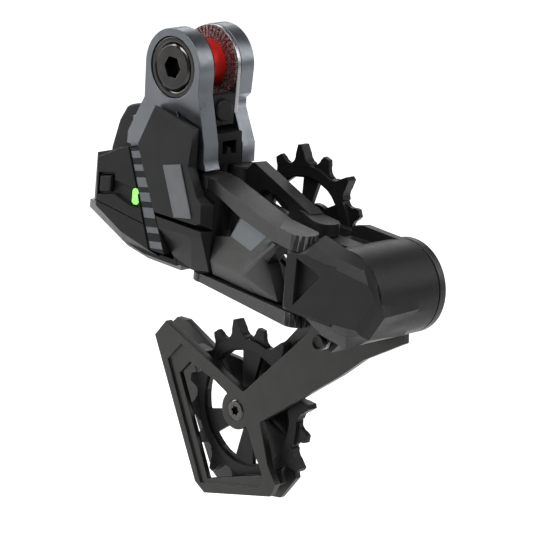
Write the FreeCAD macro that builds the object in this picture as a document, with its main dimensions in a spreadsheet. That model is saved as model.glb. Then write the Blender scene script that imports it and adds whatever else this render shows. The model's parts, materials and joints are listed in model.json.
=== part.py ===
import FreeCAD, Part
import math
import os
import Sketcher

# Electronic rear derailleur for a bicycle, clamped straight onto the frame's rear dropout.
# Frame: X forward, Y inboard (towards the wheel), Z up. The origin is on the thru-axle line,
# at the inner face of the outer mounting arm. All sizes are in millimetres.

doc = FreeCAD.newDocument("rear_derailleur")
sheet = doc.addObject("Spreadsheet::Sheet", "sizes")
NODES = []
rows = 0


# ---------------------------------------------------------------- sizes

class Size:
    """A number together with the spreadsheet expression that gives it."""

    def __init__(self, value, text):
        self.value = value
        self.text = text

    def __add__(self, other):
        return join(self, other, "+", value_of(self) + value_of(other))

    def __radd__(self, other):
        return join(other, self, "+", value_of(other) + value_of(self))

    def __sub__(self, other):
        return join(self, other, "-", value_of(self) - value_of(other))

    def __rsub__(self, other):
        return join(other, self, "-", value_of(other) - value_of(self))

    def __mul__(self, other):
        return join(self, other, "*", value_of(self) * value_of(other))

    def __rmul__(self, other):
        return join(other, self, "*", value_of(other) * value_of(self))

    def __truediv__(self, other):
        return join(self, other, "/", value_of(self) / value_of(other))

    def __neg__(self):
        return Size(-self.value, "(0 - " + self.text + ")")


def value_of(number):
    return number.value if isinstance(number, Size) else number


def text_of(number):
    return number.text if isinstance(number, Size) else "(%.6g)" % number


def join(left, right, sign, value):
    return Size(value, "(%s %s %s)" % (text_of(left), sign, text_of(right)))


def size(name, number):
    """Put a driving dimension in the sheet and hand it back as a Size."""
    global rows
    rows += 1
    sheet.set("A%d" % rows, name)
    sheet.set("B%d" % rows, str(number))
    sheet.setAlias("B%d" % rows, name)
    return Size(number, "sizes." + name)


def cosine(degrees):
    return Size(math.cos(math.radians(value_of(degrees))), "cos(%s)" % text_of(degrees))


def sine(degrees):
    return Size(math.sin(math.radians(value_of(degrees))), "sin(%s)" % text_of(degrees))


# Drive chain and guide wheels
chain_pitch = size("chain_pitch", 12.7)
upper_teeth = size("upper_teeth", 14)
lower_teeth = size("lower_teeth", 16)
tooth_narrow_tip = size("tooth_narrow_tip", 1.8)
tooth_wide_tip = size("tooth_wide_tip", 3.8)
tooth_root_drop = size("tooth_root_drop", 3.95)
narrow_width = size("narrow_width", 2.0)
wide_width = size("wide_width", 4.4)
wheel_plane = size("wheel_plane", 27.75)
hub_width = size("hub_width", 7.5)
hub_radius = size("hub_radius", 8.0)
bearing_outer = size("bearing_outer", 5.4)
bearing_inner = size("bearing_inner", 2.6)
wheel_bolt_radius = size("wheel_bolt_radius", 2.5)
wheel_bolt_head = size("wheel_bolt_head", 4.4)
upper_phase = size("upper_phase", -36.2)
lower_phase = size("lower_phase", -39.5)

# Mount on the dropout
arm_radius = size("arm_radius", 15.4)
outer_arm = size("outer_arm", 7.9)
mount_gap = size("mount_gap", 15.0)
inner_arm = size("inner_arm", 7.0)
socket_radius = size("socket_radius", 12.4)
socket_depth = size("socket_depth", 5.0)
bolt_head_radius = size("bolt_head_radius", 9.4)
bolt_shank_radius = size("bolt_shank_radius", 7.5)
axle_bore_radius = size("axle_bore_radius", 5.5)
hex_across = size("hex_across", 8.0)
sleeve_radius = size("sleeve_radius", 9.6)
fine_ring_radius = size("fine_ring_radius", 11.5)
coarse_ring_radius = size("coarse_ring_radius", 14.9)
plate_thickness = size("plate_thickness", 1.9)
fit_gap = size("fit_gap", 0.05)
clear_gap = size("clear_gap", 0.4)

# Parallelogram
outer_pin_x = size("outer_pin_x", 24.0)
outer_pin_y = size("outer_pin_y", -2.0)
link_run = size("link_run", 60.0)
link_side = size("link_side", -12.0)
pair_x = size("pair_x", -5.0)
pair_y = size("pair_y", 18.0)
pin_radius = size("pin_radius", 2.5)
bush_radius = size("bush_radius", 3.6)
link_end = size("link_end", 6.2)
link_top = size("link_top", -37.2)
link_finger = size("link_finger", 6.3)
bar_step = size("bar_step", 1.3)
link_drop = size("link_drop", 7.5)
finger_depth = size("finger_depth", 6.4)
link_sole = size("link_sole", -81.4)
sole_thickness = size("sole_thickness", 3.4)
sole_rise = size("sole_rise", 2.8)
sole_swell = size("sole_swell", 2.3)
inner_finger_depth = size("inner_finger_depth", 5.0)
eye_cap = size("eye_cap", 1.4)
inner_link_base = size("inner_link_base", -64.0)

# Cage knuckle, about the cage axis
cage_axis_x = size("cage_axis_x", 23.4)
cage_axis_z = size("cage_axis_z", -64.3)
barrel_radius = size("barrel_radius", 18.4)
barrel_bore = size("barrel_bore", 14.0)
barrel_inner_end = size("barrel_inner_end", 19.0)
barrel_shoulder = size("barrel_shoulder", -13.0)
knuckle_face = size("knuckle_face", -20.0)
axle_radius = size("axle_radius", 5.0)
cage_bearing_radius = size("cage_bearing_radius", 8.0)

# Cage
cage_gap = size("cage_gap", 0.75)
cage_plate = size("cage_plate", 3.2)
inner_plate = size("inner_plate", 2.8)
upper_wheel_x = size("upper_wheel_x", -61.07)
upper_wheel_z = size("upper_wheel_z", 6.95)
lower_wheel_x = size("lower_wheel_x", -83.34)
lower_wheel_z = size("lower_wheel_z", -75.8)

# Drive housing, gears and battery
boss_radius = size("boss_radius", 6.9)
gear_module = size("gear_module", 0.7)
output_teeth = size("output_teeth", 14)
middle_teeth = size("middle_teeth", 20)
pinion_teeth = size("pinion_teeth", 7)
gear_low = size("gear_low", -55.0)
gear_high = size("gear_high", -52.0)
motor_radius = size("motor_radius", 5.6)
cover_face = size("cover_face", -14.0)
housing_face = size("housing_face", -9.0)
housing_inner = size("housing_inner", 21.0)
housing_wall = size("housing_wall", 2.2)
housing_rear = size("housing_rear", -38.0)
housing_top = size("housing_top", -38.0)
housing_floor = size("housing_floor", -78.0)
skid_thickness = size("skid_thickness", 2.4)
battery_outer = size("battery_outer", -1.0)
battery_inner = size("battery_inner", 21.0)
screw_head = size("screw_head", 2.6)

doc.recompute()

# Named places worked out from the driving dimensions
outer_b = (outer_pin_x, outer_pin_y)
inner_b = (outer_pin_x + pair_x, outer_pin_y + pair_y)
outer_p = (outer_pin_x + link_run, outer_pin_y + link_side)
inner_p = (outer_p[0] + pair_x, outer_p[1] + pair_y)
cage_x = outer_p[0] + cage_axis_x
cage_z = cage_axis_z
link_length = Size(math.hypot(link_run.value, link_side.value),
                   "sqrt(sizes.link_run ^ 2 + sizes.link_side ^ 2)")
link_across = link_side / link_length
link_along = link_run / link_length
bar_top = link_top - bar_step
finger_top = link_top - link_drop
finger_under = finger_top - finger_depth
sole_top = link_sole + sole_thickness
far_sole_top = sole_top + sole_rise
far_sole = far_sole_top - sole_thickness - sole_swell
inner_finger_top = finger_top + 0.6
inner_finger_under = inner_finger_top - inner_finger_depth
output_radius = gear_module * output_teeth / 2
middle_radius = gear_module * middle_teeth / 2
pinion_radius = gear_module * pinion_teeth / 2
plate_out = barrel_inner_end + cage_gap
plate_in = plate_out + cage_plate
far_plate_out = wheel_plane + (wheel_plane - plate_in)
far_plate_in = far_plate_out + inner_plate
upper_wheel = (cage_x + upper_wheel_x, cage_z + upper_wheel_z)
lower_wheel = (cage_x + lower_wheel_x, cage_z + lower_wheel_z)


# ---------------------------------------------------------------- building helpers

def bind(thing, path, number):
    """Tie a property to a Size, or set it when it is a plain number."""
    thing.setExpression(path, text_of(number))


def body(name):
    made = doc.addObject("PartDesign::Body", name)
    made.Label = name
    NODES.append(made)
    return made


def origin_feature(owner, role):
    return next(part for part in owner.Origin.OriginFeatures if part.Role == role)


def sketch_on(owner, view, depth):
    """A sketch on a view's plane, moved to that depth."""
    role, way, start = VIEWS[view]
    made = owner.newObject("Sketcher::SketchObject", owner.Name + "_sketch")
    made.AttachmentSupport = [(origin_feature(owner, role), "")]
    made.MapMode = "FlatFace"
    if start is None:
        bind(made, "AttachmentOffset.Base.z", -depth if way < 0 else depth)
        return made
    made.AttachmentOffset = FreeCAD.Placement(FreeCAD.Vector(), FreeCAD.Rotation(FreeCAD.Vector(0, 1, 0), -1))
    bind(made, "AttachmentOffset.Rotation.Angle", Size(0, "atan(sizes.link_side / sizes.link_run)"))
    bind(made, "AttachmentOffset.Base.x", start[0] - depth * link_across)
    bind(made, "AttachmentOffset.Base.z", -(start[1] + depth * link_along))
    return made


def pin_point(made, curve, corner, across, up):
    for kind, number in (("DistanceX", across), ("DistanceY", up)):
        index = made.addConstraint(Sketcher.Constraint(kind, -1, 1, curve, corner, float(value_of(number))))
        if isinstance(number, Size):
            made.setExpression("Constraints[%d]" % index, number.text)


def add_polygon(made, points):
    first = made.GeometryCount
    count = len(points)
    corners = [FreeCAD.Vector(value_of(across), value_of(up), 0) for across, up in points]
    for index in range(count):
        made.addGeometry(Part.LineSegment(corners[index], corners[(index + 1) % count]), False)
    for index in range(count):
        following = first + (index + 1) % count
        made.addConstraint(Sketcher.Constraint("Coincident", first + index, 2, following, 1))
    for index, (across, up) in enumerate(points):
        pin_point(made, first + index, 1, across, up)


def add_circle(made, centre, radius):
    middle = FreeCAD.Vector(value_of(centre[0]), value_of(centre[1]), 0)
    curve = made.addGeometry(Part.Circle(middle, FreeCAD.Vector(0, 0, 1), value_of(radius)), False)
    pin_point(made, curve, 3, centre[0], centre[1])
    index = made.addConstraint(Sketcher.Constraint("Radius", curve, float(value_of(radius))))
    if isinstance(radius, Size):
        made.setExpression("Constraints[%d]" % index, radius.text)


# Each view gives the plane that an outline is drawn on, how its depth runs and where it starts:
# side is X-Z seen along Y, plan is X-Y seen along Z, and front is Y-Z seen along X.
# The two link views look square onto a link: along the link from its rear pin, and Z.
VIEWS = {"side": ("XZ_Plane", -1, None), "plan": ("XY_Plane", 1, None), "front": ("YZ_Plane", 1, None),
         "outer_link": ("XZ_Plane", -1, outer_b), "inner_link": ("XZ_Plane", -1, inner_b)}


def add(owner, view, outlines, low, high):
    """Pad outlines between two depths. An outline is a list of corners or (centre, radius)."""
    made = sketch_on(owner, view, high if VIEWS[view][1] < 0 else low)
    draw(made, outlines)
    pad = owner.newObject("PartDesign::Pad", owner.Name + "_pad")
    pad.Profile = made
    bind(pad, "Length", high - low)
    doc.recompute()
    return pad


def cut(owner, view, outlines, low, high):
    """Pocket outlines between two depths."""
    made = sketch_on(owner, view, low if VIEWS[view][1] < 0 else high)
    draw(made, outlines)
    pocket = owner.newObject("PartDesign::Pocket", owner.Name + "_pocket")
    pocket.Profile = made
    before = owner.Shape.Volume
    bind(pocket, "Length", high - low)
    doc.recompute()
    if owner.Shape.Volume > before - 1e-6:
        raise ValueError(owner.Label + ": a pocket cut nothing")
    return pocket


def draw(made, outlines):
    for outline in outlines:
        if isinstance(outline, list):
            add_polygon(made, outline)
        else:
            add_circle(made, outline[0], outline[1])


def loft(owner, view, *steps):
    """A faceted block through outlines with the same number of corners. A step is (outline, depth)."""
    sections = []
    for outline, depth in steps:
        made = sketch_on(owner, view, depth)
        draw(made, [outline])
        sections.append(made)
    doc.recompute()
    made = owner.newObject("PartDesign::AdditiveLoft", owner.Name + "_loft")
    made.Profile = sections[0]
    made.Sections = sections[1:]
    made.Ruled = True
    doc.recompute()
    return made


def place(owner, across=0, inboard=0, up=0):
    for axis, number in (("x", across), ("y", inboard), ("z", up)):
        if isinstance(number, Size) or number:
            bind(owner, "Placement.Base." + axis, number)


def turned(name, profile, along, across=0, inboard=0, up=0):
    """A turned piece: (radius, height) corners revolved about Y or Z through a point."""
    owner = body(name)
    made = sketch_on(owner, "plan" if along == "Y" else "side", 0)
    add_polygon(made, profile)
    spin = owner.newObject("PartDesign::Revolution", name + "_turn")
    spin.Profile = made
    spin.ReferenceAxis = (made, ["V_Axis"])
    spin.Angle = 360.0
    place(owner, across, inboard, up)
    doc.recompute()
    return owner


def tube(outer, inner, low, high):
    return [(inner, low), (outer, low), (outer, high), (inner, high)]


def rod(radius, low, high):
    return [(0, low), (radius, low), (radius, high), (0, high)]


def around(owner, feature, count):
    """Repeat a feature about the body's Y axis."""
    made = owner.newObject("PartDesign::PolarPattern", owner.Name + "_ring")
    made.Originals = [feature]
    made.Axis = (origin_feature(owner, "Y_Axis"), [""])
    made.Angle = 360.0
    bind(made, "Occurrences", count)
    owner.Tip = made
    doc.recompute()
    return made


def group(name, pieces):
    """One node of separate, identical solids."""
    for piece in pieces:
        NODES.remove(piece)
        piece.Label = name + "_" + piece.Name
    made = doc.addObject("Part::Compound", name)
    made.Links = pieces
    made.Label = name
    NODES.append(made)
    doc.recompute()
    return made


def hexagon(across_flats):
    """Corners of a hexagon about the origin with its flats at top and bottom."""
    reach = across_flats / 2 / cosine(30)
    return [(reach * cosine(60 * step), reach * sine(60 * step)) for step in range(6)]


def lobes(crest, valley):
    """Corners of a six-lobed socket about the origin."""
    return [(reach * math.cos(math.radians(30 * step)), reach * math.sin(math.radians(30 * step)))
            for step, reach in enumerate((crest, valley) * 6)]


# ---------------------------------------------------------------- mount and knuckle

def make_b_knuckle():
    """Forged knuckle: two arms over the dropout, joined by a bridge, with lugs for the link pins."""
    owner = body("b_knuckle")
    inner_end = mount_gap + inner_arm
    low = link_top + clear_gap
    bottom = low + 1
    outer_leg = [(-arm_radius, 0), (-14.6, -15), (-22.5, -31), (-22.5, bottom), (outer_pin_x - 1, low),
                 (21.5, -33), (21, -27), (15.5, -8), (arm_radius, 0)]
    inner_leg = [(-arm_radius, 0), (-14.6, -15), (-20, -31), (-20, low), (inner_b[0] + 1, low),
                 (19.5, -29), (13, -16), (12.6, -12.5), (15, -10), (arm_radius, 0)]
    add(owner, "side", [((0, 0), arm_radius)], -outer_arm, 0)
    add(owner, "side", [outer_leg], -outer_arm, 0)
    bridge = [(-20, low), (-20, -24), (5, -24), (9, low)]
    add(owner, "side", [bridge], -outer_arm, inner_end)
    add(owner, "side", [((0, 0), arm_radius)], mount_gap, inner_end)
    add(owner, "side", [inner_leg], mount_gap, inner_end)
    cut(owner, "side", [((0, 0), socket_radius)], -outer_arm, socket_depth - outer_arm)
    cut(owner, "side", [((0, 0), bolt_shank_radius + fit_gap)], -outer_arm, inner_end)
    cut(owner, "side", [[(4, -16.5), (15.6, -20), (17.5, -26), (9, -26)]], -outer_arm, -outer_arm + 1.5)
    return owner


def make_mount():
    """The stack that clamps the dropout: hollow bolt, ring, sleeve, toothed rings and plate."""
    inner_end = mount_gap + inner_arm
    head_back = socket_depth - outer_arm
    bolt = turned("mount_bolt", [(axle_bore_radius, -0.5), (axle_bore_radius, inner_end - 0.5),
                                 (bolt_shank_radius, inner_end - 0.5), (bolt_shank_radius, head_back),
                                 (bolt_head_radius, head_back), (bolt_head_radius, -outer_arm + 0.6),
                                 (bolt_head_radius - 0.8, -outer_arm - 0.2), (0, -outer_arm - 0.2),
                                 (0, -0.5)], "Y")
    cut(bolt, "side", [hexagon(hex_across)], -outer_arm - 1, -1.5)
    turned("bolt_ring", [(bolt_head_radius + fit_gap, head_back), (socket_radius - fit_gap, head_back),
                         (socket_radius - fit_gap, -outer_arm + 0.9), (socket_radius - 0.7, -outer_arm + 0.3),
                         (bolt_head_radius + 0.9, -outer_arm + 0.3),
                         (bolt_head_radius + fit_gap, -outer_arm + 1)], "Y")
    shim = 0.8
    plate_face = mount_gap - plate_thickness
    fine_face = plate_face - 1.1
    turned("arm_shim", tube(arm_radius - 0.3, bolt_shank_radius + fit_gap, 0, shim), "Y")
    turned("frame_sleeve", tube(sleeve_radius, bolt_shank_radius + fit_gap, shim, plate_face), "Y")
    for name, inner, outer, face, teeth in (("fine_ring", sleeve_radius + fit_gap, fine_ring_radius,
                                             fine_face, 44),
                                            ("coarse_ring", fine_ring_radius + fit_gap, coarse_ring_radius,
                                             fine_face + 0.2, 44)):
        ring = turned(name, tube(outer, inner, face, plate_face), "Y")
        half = outer * 0.018
        notch = cut(ring, "side", [[(-half, inner - 0.2), (half, inner - 0.2), (half, outer + 1),
                                    (-half, outer + 1)]],
                    face, face + 0.35)
        around(ring, notch, teeth)
    plate = body("thrust_plate")
    add(plate, "side", [((0, 0), arm_radius - 0.2)], plate_face, mount_gap)
    add(plate, "side", [[(2, 0), (2, -17.2), (arm_radius - 0.2, -17.2), (arm_radius - 0.2, 0)]],
        plate_face, mount_gap)
    cut(plate, "side", [((0, 0), bolt_shank_radius + fit_gap)], plate_face, mount_gap)


def make_gap_parts():
    """What sits in the gap under the dropout: the frame stop, its dial and the open bracket."""
    roof = arm_radius + 0.4
    stop = body("frame_stop")
    add(stop, "side", [[(-6, -23.6), (-6, -17.6), (4, -16.2), (13.4, -8.6), (15.6, -9), (15.6, -21.4),
                        (6, -23.6)]],
        clear_gap, mount_gap - plate_thickness - clear_gap)
    cut(stop, "side", [((0, 0), roof)], clear_gap, mount_gap - plate_thickness - clear_gap)
    dial = turned("setup_dial", [(0, 0), (4.4, 0), (4.4, 1.0), (3.9, 1.4), (0, 1.4)], "Z", 15.6, 6.2, -15.2)
    dial.Placement.Rotation = FreeCAD.Rotation(FreeCAD.Vector(0, 1, 0), 90)
    bracket = body("gap_bracket")
    add(bracket, "side", [[(9.6, -23.8), (19, -23.8), (20, -36.4), (9.6, -36.4)]], clear_gap,
        mount_gap - clear_gap)
    window = [(4, -27), (11.5, -27), (11.5, -32.4), (9, -32.4), (8.4, -29.6), (7, -29.6), (6.4, -32.4),
              (4, -32.4)]
    cut(bracket, "front", [window], 12, 21)


# ---------------------------------------------------------------- drive housing

def make_housing():
    """Base shell of the drive unit with the gearbox boss round the outer link pin."""
    owner = body("motor_housing")
    lip = housing_top - clear_gap
    top_left = (housing_rear, lip - 5)
    outline = [top_left, (housing_rear + 14, lip), (outer_pin_x - 12, lip), (outer_pin_x - 12, housing_floor),
               (-7, housing_floor), (-18.5, housing_floor + 2.2), (housing_rear, housing_floor + 13)]
    add(owner, "side", [outline], housing_face, housing_inner)
    # gearbox boss and front wall, between the upper and lower link eyes
    boss_top = link_top - link_finger - clear_gap
    boss_low = sole_top + 2 * clear_gap
    add(owner, "plan", [(outer_b, boss_radius)], boss_low, boss_top)
    add(owner, "plan", [[(8, outer_pin_y - boss_radius), (outer_pin_x, outer_pin_y - boss_radius),
                         (outer_pin_x, outer_pin_y + boss_radius), (18, 8), (8, 8)]], boss_low, boss_top)
    # inner pin lug below the inner link
    add(owner, "plan", [(inner_b, link_end)], housing_floor, inner_link_base - clear_gap)
    add(owner, "plan", [[(8, inner_b[1] - link_end), (inner_b[0], inner_b[1] - link_end),
                         (inner_b[0], inner_b[1] + link_end - 1.2), (8, inner_b[1] + link_end - 1.2)]],
        housing_floor, inner_link_base - clear_gap)
    # cavity for the motor, gears and board, open on the outer side
    wall = housing_wall
    front = outer_pin_x - 12 - wall + 0.6
    cavity = [(housing_rear + 17.2, lip - 4.5), (front, lip - 4.5), (front, housing_floor + wall),
              (-8, housing_floor + wall), (-17, housing_floor + wall + 2.4),
              (housing_rear + 17.2, housing_floor + 6)]
    cut(owner, "side", [cavity], housing_face, housing_inner - wall)
    # battery bay at the rear
    cut(owner, "side", [[(housing_rear - 1, lip + 1), (-21.4, lip + 1), (-21.4, -63.6),
                         (housing_rear - 1, -63.6)]],
        battery_outer - clear_gap, housing_inner)
    # pin bores
    cut(owner, "plan", [(outer_b, pin_radius + fit_gap)], boss_low - 1, boss_top)
    cut(owner, "plan", [(inner_b, pin_radius + fit_gap / 2)], housing_floor + 3, inner_link_base - clear_gap)
    # chambers for the output gear and the gear that drives it
    cut(owner, "plan", [(outer_b, output_radius + gear_module + clear_gap)], gear_low - 9,
        gear_high + clear_gap)
    middle_gear = (outer_b[0] - output_radius - middle_radius, outer_b[1])
    cut(owner, "plan", [(middle_gear, middle_radius + gear_module + clear_gap)], gear_low - clear_gap,
        gear_high + clear_gap)
    cut(owner, "plan", [(middle_gear, 1.2 + fit_gap / 2)], gear_low - 3, gear_high + 2)
    return owner


def band_left(up):
    """Rear edge of the slanted panel at a height."""
    return -15.4 + (-34.5 - up) * 0.417


def band_right(up):
    """Front edge of the slanted panel at a height."""
    return -9.7 + (-33.2 - up) * 0.481


def band_edge(edge, heights, gap):
    return [(edge(up) + gap, up) for up in heights]


def make_covers():
    """Outer shells of the drive unit."""
    seat = housing_face
    seam = 0.12
    cover = body("motor_cover")
    left = band_edge(band_right, (-57.6, -32.6), seam)
    base = [(-6.2, -16.6), (18.6, -20.4), (19, -36), (24.5, -46.2), (30.6, -48.6), (30.6, -58.4),
            (25.4, -58.8)] + left
    face = [(-1.6, -15), (20.9, -19.4), (19.2, -35.2), (25.6, -46.2), (28, -48.2), (28.6, -55.6),
            (25.8, -57)] + left
    loft(cover, "side", (base, seat), (face, cover_face))
    hollow = [(-3, -22), (14, -24), (15, -38), (22, -49), (26, -51), (26, -55), (5, -55), (-5, -34)]
    cut(cover, "side", [hollow], cover_face + 2, seat)
    belly = body("lower_cover")
    low_left = band_edge(band_right, (-74.6, -59.2), seam)
    belly_face = band_edge(band_right, (-63.4, -59.2), seam)
    loft(belly, "side", (low_left + [(30.6, -59.2), (30.6, -75.6), (21, -77)], seat),
         (belly_face + [(29, -59.2), (29.2, -60.6), (24, -62)], cover_face + 0.5))
    module = body("electronics_cover")
    right = band_edge(band_left, (-35.2, -63.8), -seam)
    loft(module, "side", ([(housing_rear, -63), (housing_rear, -45), (-23.6, -37.6)] + right, seat),
         ([(-31.6, -61), (-32.3, -43.8), (-20.8, -37.4)] + right, cover_face))
    recess = [(-31, -58.6), (-31, -49.4), (-21.4, -47), (-21.4, -50.4), (-8.6, -50.6), (-6, -58.6),
              (-12, -58.6),
              (-21.4, -56.2)]
    cut(module, "side", [recess], cover_face - 1, cover_face + 1.2)
    cut(module, "side", [[(-29.6, -57.2), (-29.6, -50.2), (-22.8, -48.6), (-22.8, -55.6)]],
        cover_face, cover_face + 3.6)
    sill = body("housing_sill")
    low_right = band_edge(band_left, (-64.2, -76.8), -seam)
    loft(sill, "side", ([(-19.6, -75.8), (housing_rear, -65.2), (housing_rear, -63.4)] + low_right, seat),
         ([(-15.8, -70.4), (-31.6, -63.4), (-31.6, -61.4)] + band_edge(band_left, (-64.2, -73.8), -seam),
          cover_face))
    panel = body("slanted_panel")
    heights = (-35.4, -73.4)
    corners = band_edge(band_left, heights, seam) + band_edge(band_right, heights[::-1], -seam)
    add(panel, "side", [corners], cover_face + 0.4, seat)


def make_controls():
    """Function button with its spring and seal, the status lamp, and the blank badge."""
    key = body("function_button")
    add(key, "side", [[(-29.3, -56.9), (-29.3, -50.5), (-23.1, -49), (-23.1, -55.3)]], cover_face - 0.7,
        cover_face + 1.6)
    coil("button_spring", 1.2, 0.22, cover_face + 1.65, cover_face + 3.55, 3, -26.2, -52.9)
    lamp = body("status_lamp")
    add(lamp, "side", [[(-11.2, -56.8), (-11.2, -52), (-10.4, -51.2), (-9.4, -51.2), (-8.6, -51.9),
                        (-7.9, -56.4),
                        (-8.6, -57.4), (-10.2, -57.6)]], cover_face + 0.4, cover_face + 1.2)
    badge = body("blank_badge")
    add(badge, "side", [[(5.6, -37.6), (15.2, -35), (23.6, -55), (14, -56.8)]], cover_face - 0.5, cover_face)


def coil(name, mean_radius, wire_radius, low, high, turns, across, up):
    """A compression or torsion spring about Y, swept along a helix."""
    pitch = (value_of(high) - value_of(low) - 2 * wire_radius) / turns
    helix = Part.makeHelix(pitch, pitch * turns, mean_radius)
    section = Part.Wire(Part.Circle(FreeCAD.Vector(mean_radius, 0, 0), FreeCAD.Vector(0, 1, 0),
                                    wire_radius).toShape())
    swept = Part.Wire(helix.Edges).makePipeShell([section], True, True)
    made = doc.addObject("Part::Feature", name)
    made.Label = name
    made.Shape = swept
    start = FreeCAD.Vector(value_of(across), value_of(low) + wire_radius, value_of(up))
    made.Placement = FreeCAD.Placement(start, FreeCAD.Rotation(FreeCAD.Vector(1, 0, 0), -90))
    NODES.append(made)
    return made


def make_inside():
    """Motor, gear train and circuit board inside the drive unit."""
    middle_x = outer_b[0] - output_radius - middle_radius
    pinion_x = middle_x - middle_radius - pinion_radius
    motor_top = gear_low - 1
    motor = turned("drive_motor", [(0, motor_top - 17), (motor_radius, motor_top - 17),
                                   (motor_radius, motor_top),
                                   (0, motor_top)], "Z", pinion_x, outer_b[1])
    cut(motor, "plan", [((0, 0), 1.0 + fit_gap)], motor_top - 6, motor_top)
    pinion = gear("motor_pinion", pinion_radius, pinion_teeth, gear_low, gear_high, pinion_x, -90.0 / 7)
    add(pinion, "plan", [((0, 0), 1.0)], motor_top - 5.6, gear_high)
    middle = gear("middle_gear", middle_radius, middle_teeth, gear_low, gear_high, middle_x, 0.0)
    cut(middle, "plan", [((0, 0), 1.2 + fit_gap)], gear_low, gear_high)
    turned("middle_gear_pin", rod(1.2, gear_low - 3, gear_high + 2), "Z", middle_x, outer_b[1])
    output = gear("output_gear", output_radius, output_teeth, gear_low - 8, gear_high, outer_b[0], 0.0)
    cut(output, "plan", [((0, 0), pin_radius + fit_gap)], gear_low - 8, gear_high)
    board = body("circuit_board")
    add(board, "side", [[(-19.6, -66), (-19.6, -45), (-8, -45), (-8, -66)]], housing_face + 2,
        housing_face + 3.6)


def gear(name, pitch_radius, teeth, low, high, across, turn):
    """A small spur gear standing on Z, on the line through the outer link pin."""
    owner = body(name)
    root = pitch_radius - gear_module * 1.25
    add(owner, "plan", [((0, 0), root)], low, high)
    foot = gear_module * 0.95
    waist = gear_module * 0.62
    crown = gear_module * 0.3
    tooth = add(owner, "plan", [[(-foot, root - 0.2), (foot, root - 0.2), (waist, pitch_radius),
                                 (crown, pitch_radius + gear_module * 0.8),
                                 (-crown, pitch_radius + gear_module * 0.8), (-waist, pitch_radius)]], low,
                                 high)
    made = owner.newObject("PartDesign::PolarPattern", name + "_teeth")
    made.Originals = [tooth]
    made.Axis = (origin_feature(owner, "Z_Axis"), [""])
    made.Angle = 360.0
    bind(made, "Occurrences", teeth)
    owner.Tip = made
    owner.Placement.Rotation = FreeCAD.Rotation(FreeCAD.Vector(0, 0, 1), turn)
    place(owner, across, outer_b[1])
    doc.recompute()
    return owner


def make_battery():
    pack = body("battery")
    add(pack, "side", [[(-40, -62), (-38.6, -42), (-35.2, -30), (-31.4, -23.6), (-29, -22.3), (-23.4, -20.6),
                        (-23.4, -30.5), (-23.4, -62)]], battery_outer, battery_inner)
    contacts = []
    for step in range(2):
        pad = body("contact_%d" % step)
        add(pad, "front", [[(5 + 6 * step, -56), (8 + 6 * step, -56), (8 + 6 * step, -52),
                            (5 + 6 * step, -52)]],
            -23.4, -22.2)
        contacts.append(pad)
    group("battery_contacts", contacts)
    latch = body("battery_latch")
    add(latch, "side", [[(-42.4, -64.4), (-40.8, -64.4), (-39.4, -46), (-40.6, -44), (-42.4, -46)]], 4, 16)
    add(latch, "side", [((-41.6, -65.6), 2.2)], 4, 16)
    cut(latch, "side", [((-41.6, -65.6), 1.0 + fit_gap)], 4, 16)
    turned("latch_pin", rod(1.0, 1.6, 18.4), "Y", -41.6, 0, -65.6)


def make_skid():
    plate = body("skid_plate")
    floor = housing_floor
    add(plate, "side", [[(housing_rear - 5.6, floor + 13.2), (housing_rear - 0.6, floor + 13.2),
                         (-18.6, floor + 2),
                         (-7, floor), (12, floor), (12, floor - skid_thickness), (-7, floor - skid_thickness),
                         (-19.6, floor - 0.4), (housing_rear - 5.6, floor + 9.8)]], -6, 19)
    cut(plate, "side", [((-41.6, -65.6), 2.6)], 3.6, 16.4)
    cut(plate, "side", [((-41.6, -65.6), 1.0 + fit_gap / 2)], 1.6, 18.4)


# ---------------------------------------------------------------- links

def make_pins():
    """The four link pins, hidden under the closed upper ends of the eyes."""
    spans = {"outer_pin_b": (outer_b, link_sole + 0.6, bar_top),
             "inner_pin_b": (inner_b, housing_floor + 3, link_top),
             "outer_pin_p": (outer_p, far_sole + 0.6, finger_top),
             "inner_pin_p": (inner_p, inner_link_base + 0.6, inner_finger_top)}
    for name, (spot, low, high) in spans.items():
        turned(name, rod(pin_radius, low, high - eye_cap - fit_gap), "Z", spot[0], spot[1])


def on_link(pin, along, across):
    """Plan place of a point given along and across a link from its rear pin."""
    return (pin[0] + along * link_along - across * link_across,
            pin[1] + along * link_across + across * link_along)


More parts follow.
